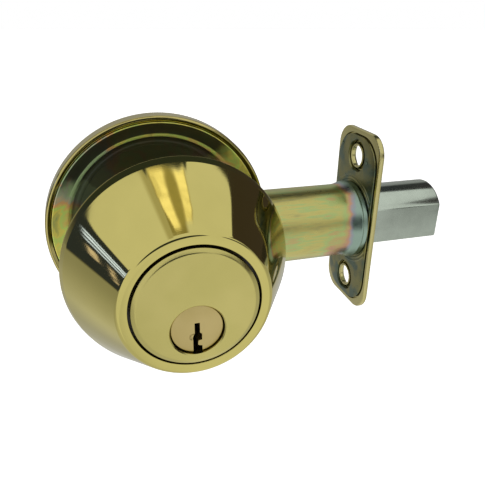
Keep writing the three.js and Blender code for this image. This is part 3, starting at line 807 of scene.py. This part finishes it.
def latch_sleeve():
    """The latch tube, its flare, and its openings for the hub, the arm and the screws."""
    start, end = TUBE[0].x, TUBE[1].x
    flare = TUBE[1].y
    outer, inner = 11.4, 10.8
    profile = rounded([
        (inner, start, 0.1),
        (outer, start, 0.2),
        (outer, end - 5, 6),
        (flare - 0.35, end - 1.9, 0.3),
        (flare - 0.35, end - 1.5, 0.2),
        (flare - 0.75, end - 1.2, 0.2),
        (flare - 0.6, end),
        (inner, end),
    ], steps=10)
    piece = turned("latch_sleeve", profile, "X", (0, LATCH_Z), 160)
    window = rod(4.7, "Y", -15, 15, (0, DRIVE_Z))
    arm = block((-10.6, -1.7, LATCH_Z + 5), (10.6, 4.1, LATCH_Z + 15))
    combine(piece, window, arm, *screw_bores(3.1, -15, 15, 40))
    return finished(piece, "tube", CASE, "yellow_zinc", "latch_tube")


def latch_ring(outline, x):
    """An outline of (y, z) points about the latch's axis, placed at x."""
    return [(x, u, LATCH_Z + v) for u, v in outline]


def bolt_hole():
    """The hole for the bolt in both plates, a little larger than the bolt."""
    outline = bolt_section(-0.35)
    return lofted("tool", [latch_ring(outline, x) for x in (RIM_BACK_X - 5, FACE_X + 5)])


def well_outline():
    """The hollow in the faceplate's back, with rounder corners than the plate's own."""
    return rounded_rectangle(FACEPLATE[1].y - 0.95, HALF_HEIGHT - 1.5, 9, steps=16)


def inner_plate():
    """The zinc plate in the faceplate, with pressed rings round the bolt and three stake marks."""
    start, end = BACKPLATE[0].x, BACKPLATE[1].x
    well = well_outline()
    centre = (0, LATCH_Z)

    def outline(inset):
        return well(0.35 + inset)

    piece = slab("inner_plate", outline, "X", start, end, 0.25, centre)
    for radius in (12.9, 13.9):
        ridge = turned("tool", rounded([
            (radius - 0.45, start + 0.3), (radius - 0.35, start), (radius, start - 0.3, 0.2),
            (radius + 0.35, start), (radius + 0.45, start + 0.3),
        ], steps=4), "X", centre, 160)
        rings = [latch_ring(outline(0.5), x) for x in (start - 1, end)]
        combine(ridge, lofted("tool", rings), operation="INTERSECT")
        combine(piece, ridge, operation="UNION")
    holes = []
    hole_profile = rounded([
        (0, start - 1), (6.1, start - 1), (4.8, start + 0.3, 0.5), (4.8, end + 1), (0, end + 1),
    ], closed=False)
    for side in (-1, 1):
        hole_centre = (0, LATCH_Z + side * PLATE_SCREW_OFFSET)
        holes.append(turned("tool", hole_profile, "X", hole_centre, 96, closed=False))
    stake_profile = [(0, start - 1), (1.4, start - 1), (0.45, start + 0.25), (0, start + 0.3)]
    for stake_centre in ((9.0, 24.0), (-6.6, 21.4), (9.0, -14.5)):
        holes.append(turned("tool", stake_profile, "X", stake_centre, 24, closed=False))
    combine(piece, bolt_hole(), *holes)
    return finished(piece, "backplate", CASE, "yellow_zinc", "latch_backplate")


def front_plate():
    """The brass faceplate: a tray whose edge is rolled back, with a collar round each screw hole."""
    outline = rounded_rectangle(FACEPLATE[1].y, HALF_HEIGHT, FACEPLATE_CORNER)
    piece = slab("front_plate", outline, "X", RIM_BACK_X, FACE_X, 0.42, (0, LATCH_Z))
    well = well_outline()
    inner_face = FACE_X - FACEPLATE_SHEET
    depths = ((-0.3, RIM_BACK_X - 0.3), (0, RIM_BACK_X + 0.25), (0, inner_face))
    well_rings = [latch_ring(well(inset), x) for inset, x in depths]
    combine(piece, lofted("tool", well_rings), bolt_hole())
    collar_profile = rounded([
        (2, COLLAR_X), (3.7, COLLAR_X, 0.2), (3.75, inner_face - 0.4, 0.3), (4.3, inner_face + 0.1),
        (4.3, FACE_X - 0.3), (2, FACE_X - 0.3),
    ])
    sink_profile = rounded([
        (0, COLLAR_X - 1), (3.6, COLLAR_X - 0.5), (3.1, COLLAR_X + 0.2, 0.2), (3.1, FACE_X - 0.9, 0.2),
        (4.1, FACE_X + 0.1), (0, FACE_X + 0.1),
    ], closed=False)
    for side in (-1, 1):
        centre = (0, LATCH_Z + side * PLATE_SCREW_OFFSET)
        combine(piece, turned("tool", collar_profile, "X", centre, 96), operation="UNION")
        combine(piece, turned("tool", sink_profile, "X", centre, 96, closed=False))
    return finished(piece, "faceplate", CASE, "polished_brass", "latch_faceplate")


def thrown_bolt():
    """The bolt: round above, with flat sides and underside and a slightly eased end."""
    start, end = BOLT_BOX[0].x, BOLT_BOX[1].x
    levels = [
        (0.3, start), (0, start + 0.3), (0, end - 0.55), (0.08, end - 0.28), (0.22, end - 0.09), (0.5, end),
    ]
    rings = []
    for inset, x in levels:
        rings.append(latch_ring(bolt_section(inset, max(0.1, BOLT_CORNER - inset)), x))
    piece = lofted("thrown_bolt", rings)
    roller, tail, pin = box_mm("bolt_roller_pin"), box_mm("bolt_tail"), box_mm("bolt_tail_pin")
    roller_centre = ((roller[0].y + roller[1].y) / 2, (roller[0].z + roller[1].z) / 2)
    pin_centre = ((pin[0].x + pin[1].x) / 2, (pin[0].z + pin[1].z) / 2)
    bore = rod(3.2, "X", start - 1, roller[1].x + 0.5, roller_centre, 48)
    slot = block((start - 1, tail[0].y - 0.3, 2.3), (tail[1].x + 0.4, tail[1].y + 0.3, 8.3))
    combine(piece, bore, slot, rod(1.5, "Y", -12, 12, pin_centre, 32))
    return finished(piece, "bolt", BOLT, "steel", "bolt")


# ---- the rest of the CAD nodes, kept as they are, with better materials ------------------------

KEPT = {
    "zinc": ["latch_cam", "bolt_tail"],
    "steel": ["tailpiece", "bolt_tail_pin"] + [f"driver_pin_{i}" for i in PIN_STACKS],
    # the backing ring's near-black steel is painted shade
    "hard": ["housing_backing_ring", "bolt_roller_pin"],
    "head": ["chamber_cap"] + [f"bottom_pin_{i}" for i in PIN_STACKS],
    "spring": ["plug_retainer_clip", "thumb_turn_clip", "spring_washer"]
    + [f"pin_spring_{i}" for i in PIN_STACKS],
}


def dress_kept_nodes():
    """Gives each CAD node that stays as it is its material."""
    for material, names in KEPT.items():
        for name in names:
            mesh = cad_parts[name].data
            mesh.materials.clear()
            mesh.materials.append(MATERIALS[material])


# ---- stage ----------------------------------------------------------------------------------


def make_camera():
    """A camera in front, to the left and above, at the distance of a close product shot."""
    azimuth, elevation, roll = math.radians(-17.6), math.radians(24.5), math.radians(1.05)
    target = Vector((23.02, 0, -3.10)) * MM
    distance = 165.35 * MM
    focal_in_widths = 1.10406
    forward = Vector((
        -math.sin(azimuth) * math.cos(elevation),
        math.cos(azimuth) * math.cos(elevation),
        -math.sin(elevation),
    ))
    level = Vector((math.cos(azimuth), math.sin(azimuth), 0))
    upright = level.cross(forward)
    right = math.cos(roll) * level + math.sin(roll) * upright
    up = -math.sin(roll) * level + math.cos(roll) * upright
    data = bpy.data.cameras.new("camera")
    data.lens = focal_in_widths * data.sensor_width
    data.clip_start = 0.005
    data.clip_end = 50
    camera = bpy.data.objects.new("camera", data)
    turn = Matrix((right, up, -forward)).transposed().to_4x4()
    camera.matrix_world = Matrix.Translation(target - forward * distance) @ turn
    bpy.context.scene.collection.objects.link(camera)
    bpy.context.scene.camera = camera


def tent(nodes, x, y, z):
    """The tent itself: its colour, where its roof is, and how far past the roof's back edge we look."""
    # the roof reaches from the front to just past overhead, and lower on the left than on the right
    side_edge = nodes.ramp(x, -0.2, 0.2, math.sin(math.radians(19)), math.sin(math.radians(37.5)))
    low_edge = nodes.math("MULTIPLY_ADD", nodes.ramp(y, -0.35, -0.75), -1.0, side_edge)
    beside_lamp = nodes.apart(nodes.apart(x, 0.01), 0.25)
    back_edge = nodes.math(
        "MAXIMUM", nodes.ramp(x, -0.25, -0.9, 0.222, 0.265), nodes.ramp(x, 0.15, 0.42, 0.222, 0.31)
    )
    back_edge = nodes.less(back_edge, nodes.ramp(beside_lamp, 0.035, 0.0, 0.0, 0.022))
    past = nodes.less(y, back_edge)
    corner = 0.05
    short_z = nodes.math("MAXIMUM", nodes.less(corner, nodes.less(z, low_edge)), 0.0)
    short_y = nodes.math("MAXIMUM", nodes.math("ADD", past, corner), 0.0)
    roof = nodes.ramp(nodes.less(corner, nodes.length(short_z, short_y)), -0.007, 0.007)
    duller = nodes.product(nodes.ramp(x, 0.5, 0.66), nodes.ramp(z, 0.28, 0.12), 0.34)
    roof_level = nodes.product(roof, nodes.less(0.84, duller))
    # behind: a gap, then a grey backdrop that darkens to both sides and towards the floor
    gap_end = nodes.ramp(x, -0.7, 0.1, 0.0, 0.14)
    behind = nodes.ramp(nodes.less(y, gap_end), 0.50, 0.60)
    across = nodes.math("ABSOLUTE", x)
    backdrop = nodes.product(
        behind, nodes.ramp(across, 0.2, 0.65, 0.55, 0.32), nodes.ramp(y, 0.88, 0.95, 1.0, 0.72)
    )
    # the floor is brightest in front, and dull on the left
    floor_level = nodes.math(
        "ADD", nodes.ramp(x, -0.95, -0.55, 0.42, 0.62), nodes.ramp(x, -0.1, 0.25, 0.0, 0.21)
    )
    for limit in (
        nodes.ramp(x, 0.32, 0.62, 0.84, 0.57), nodes.ramp(y, 0.1, 0.6, 0.84, 0.56),
        nodes.ramp(y, 0.62, 0.85, 0.84, 0.30), 0.8,
    ):
        floor_level = nodes.math("MINIMUM", floor_level, limit)
    fall = nodes.product(nodes.ramp(z, -0.07, -0.11), nodes.ramp(z, -0.1, -0.45, 0.85, 1.08))
    floor = nodes.product(fall, floor_level, nodes.ramp(y, 0.48, 0.6, 1.0, 0.8))
    level = nodes.math("MAXIMUM", roof_level, nodes.math("MAXIMUM", backdrop, floor))
    # in front: a dark lens, and a dark card to its right
    lens_shape = nodes.ramp(nodes.oval(x, z, (-0.03, 0.12), (3.15, 2.9)), 1.15, 0.85)
    lens = nodes.product(lens_shape, nodes.ramp(y, -0.5, -0.6))
    card_shape = nodes.ramp(nodes.oval(x, z, (0.6, 0.14), (6.2, 5.8)), 1.2, 0.7)
    card = nodes.product(card_shape, nodes.ramp(y, -0.45, -0.55), 0.85)
    level = nodes.product(level, nodes.less(1.0, lens), nodes.less(1.0, card))
    # the dark parts still have a little light of their own
    colour = nodes.vector(
        nodes.math("MAXIMUM", level, nodes.ramp(x, 0.5, 0.8, 0.036, 0.056)),
        nodes.math("MAXIMUM", level, 0.045),
        nodes.math("MAXIMUM", nodes.product(level, 0.97), nodes.ramp(x, -0.72, -0.86, 0.045, 0.08)),
    )
    return colour, roof, past


def with_warm_lamp(nodes, x, y, z, colour, roof, past):
    """The warm lamp in the roof, with a dull baffle on its left, a shaded near side and a brown core."""
    high = nodes.ramp(z, 0.88, 0.93)
    baffle = nodes.product(nodes.ramp(x, -0.34, -0.27), nodes.ramp(x, -0.19, -0.22), high, roof)
    colour = nodes.mix(nodes.product(baffle, 0.85), colour, (0.50, 0.47, 0.33, 1))
    shade = nodes.product(
        nodes.ramp(x, -0.22, -0.19), nodes.ramp(x, 0.12, 0.04), nodes.ramp(y, 0.022, 0.03), high, roof
    )
    colour = nodes.mix(shade, colour, (0.34, 0.30, 0.14, 1))
    wobble = nodes.noise(nodes.vector(nodes.product(x, 3.0), nodes.product(y, 150.0), 0.0), 1.0, 2.0)
    ragged = nodes.math("MULTIPLY_ADD", wobble, 0.07, -0.035)
    lamp_x = nodes.math("ADD", nodes.less(x, 0.012), ragged)
    half_width = nodes.ramp(y, 0.04, 0.13, 0.165, 0.228)
    outside = nodes.less(nodes.math("ABSOLUTE", lamp_x), half_width)
    near_end = nodes.ramp(x, -0.1, 0.22, 0.048, 0.085)
    lamp = nodes.product(
        nodes.ramp(outside, 0.008, -0.008), nodes.ramp(nodes.less(y, near_end), -0.005, 0.006),
        high, nodes.ramp(past, -0.004, -0.010),
    )
    core_shape = nodes.oval(lamp_x, y, (0.02, 0.135), (11.0, 9.0))
    core = nodes.ramp(nodes.math("ADD", core_shape, ragged), 1.35, 0.35)
    glow = nodes.mix(core, (1.62, 1.44, 1.0, 1), (0.42, 0.37, 0.17, 1))
    dull = nodes.ramp(nodes.oval(lamp_x, y, (-0.185, 0.165), (24.0, 28.0)), 1.4, 0.3)
    glow = nodes.mix(nodes.product(dull, 0.4), glow, (0.5, 0.45, 0.2, 1))
    ribbed = nodes.mix(nodes.ramp(wobble, 0.45, 0.7, 0.0, 0.75), glow, (0.62, 0.52, 0.25, 1))
    edge = nodes.ramp(outside, -0.022, -0.004)
    warm = nodes.mix(nodes.product(edge, 0.85), ribbed, (0.30, 0.26, 0.11, 1))
    return nodes.mix(lamp, colour, warm)


def with_left_lamps(nodes, x, y, z, colour):
    """A thin cold lamp low on the left, seen through slats, and small warm ones under it."""
    on_left = nodes.product(nodes.ramp(x, -0.9, -0.93), nodes.ramp(y, 0.292, 0.276))
    waves = nodes.noise(nodes.vector(0.0, nodes.product(y, 14.0), 0.0), 1.0, 3.0)
    low = nodes.math("ADD", z, nodes.math("MULTIPLY_ADD", waves, 0.03, -0.015))
    for middle, half, strength in ((0.244, 0.0075, 1.0), (0.214, 0.011, 0.9), (0.178, 0.007, 0.75)):
        band = nodes.ramp(nodes.apart(low, middle), half + 0.003, half - 0.003)
        colour = nodes.mix(nodes.product(on_left, band, strength), colour, (1.25, 1.6, 4.2, 1))
    specks = nodes.noise(nodes.vector(0.0, nodes.product(y, 90.0), nodes.product(z, 60.0)), 1.0, 2.0)
    for middle_y, half_y, middle_z, half_z, cut in (
        (0.258, 0.022, 0.095, 0.045, 0.34), (0.19, 0.014, 0.065, 0.08, 0.42),
    ):
        ember = nodes.product(
            on_left, nodes.ramp(nodes.apart(y, middle_y), half_y, half_y * 0.6),
            nodes.ramp(nodes.apart(z, middle_z), half_z, half_z * 0.6), nodes.ramp(specks, cut, cut + 0.1),
        )
        colour = nodes.mix(ember, colour, (0.95, 0.8, 1.0, 1))
    return colour


def make_surroundings():
    """A tent with a bright roof and dark sides, for light and reflections, and plain white to look at.

    Everything in it is placed by direction in the lock's own frame: X right, Y back and Z up.
    """
    world = bpy.data.worlds.new("tent")
    bpy.context.scene.world = world
    world.use_nodes = True
    nodes = Nodes(world.node_tree)
    x, y, z = nodes.split(nodes.add("ShaderNodeTexCoord").outputs["Generated"])
    colour, roof, past = tent(nodes, x, y, z)
    colour = with_warm_lamp(nodes, x, y, z, colour, roof, past)
    colour = with_left_lamps(nodes, x, y, z, colour)
    lighting = nodes.add("ShaderNodeBackground")
    nodes.join(colour, lighting.inputs[0])
    plain = nodes.add("ShaderNodeBackground")
    plain.inputs[0].default_value = (1, 1, 1, 1)
    choose = nodes.add("ShaderNodeMixShader")
    nodes.join(nodes.add("ShaderNodeLightPath").outputs["Is Camera Ray"], choose.inputs[0])
    nodes.join(lighting.outputs[0], choose.inputs[1])
    nodes.join(plain.outputs[0], choose.inputs[2])
    nodes.join(choose.outputs[0], nodes.add("ShaderNodeOutputWorld").inputs[0])


def make_floor():
    """A plain pale floor, well below the lock, which hangs as a door holds it."""
    half, height = 6000, -260
    corners = [(u * half, v * half, height) for u, v in ((-1, -1), (1, -1), (1, 1), (-1, 1))]
    floor = new_object("floor", corners, [[0, 1, 2, 3]])
    material = bpy.data.materials.new("pale_floor")
    material.use_nodes = True
    nodes = Nodes(material.node_tree)
    shader = nodes.add("ShaderNodeBsdfPrincipled")
    shader.inputs["Base Color"].default_value = (0.92, 0.92, 0.92, 1)
    shader.inputs["Roughness"].default_value = 0.8
    shader.inputs["Emission Color"].default_value = (1, 1, 1, 1)
    shader.inputs["Emission Strength"].default_value = 0.75
    nodes.join(shader.outputs[0], nodes.add("ShaderNodeOutputMaterial").inputs[0])
    floor.data.materials.append(material)
    floor.visible_glossy = False


bpy.context.scene.view_settings.view_transform = "Standard"
make_camera()
make_surroundings()
make_floor()
housing_shell()
cylinder_head()
key_plug()
rose_shell()
recessed_plate()
turn_piece()
for screw_node in ("mounting_screw_left", "mounting_screw_right"):
    through_screw(screw_node)
latch_sleeve()
inner_plate()
front_plate()
thrown_bolt()
dress_kept_nodes()
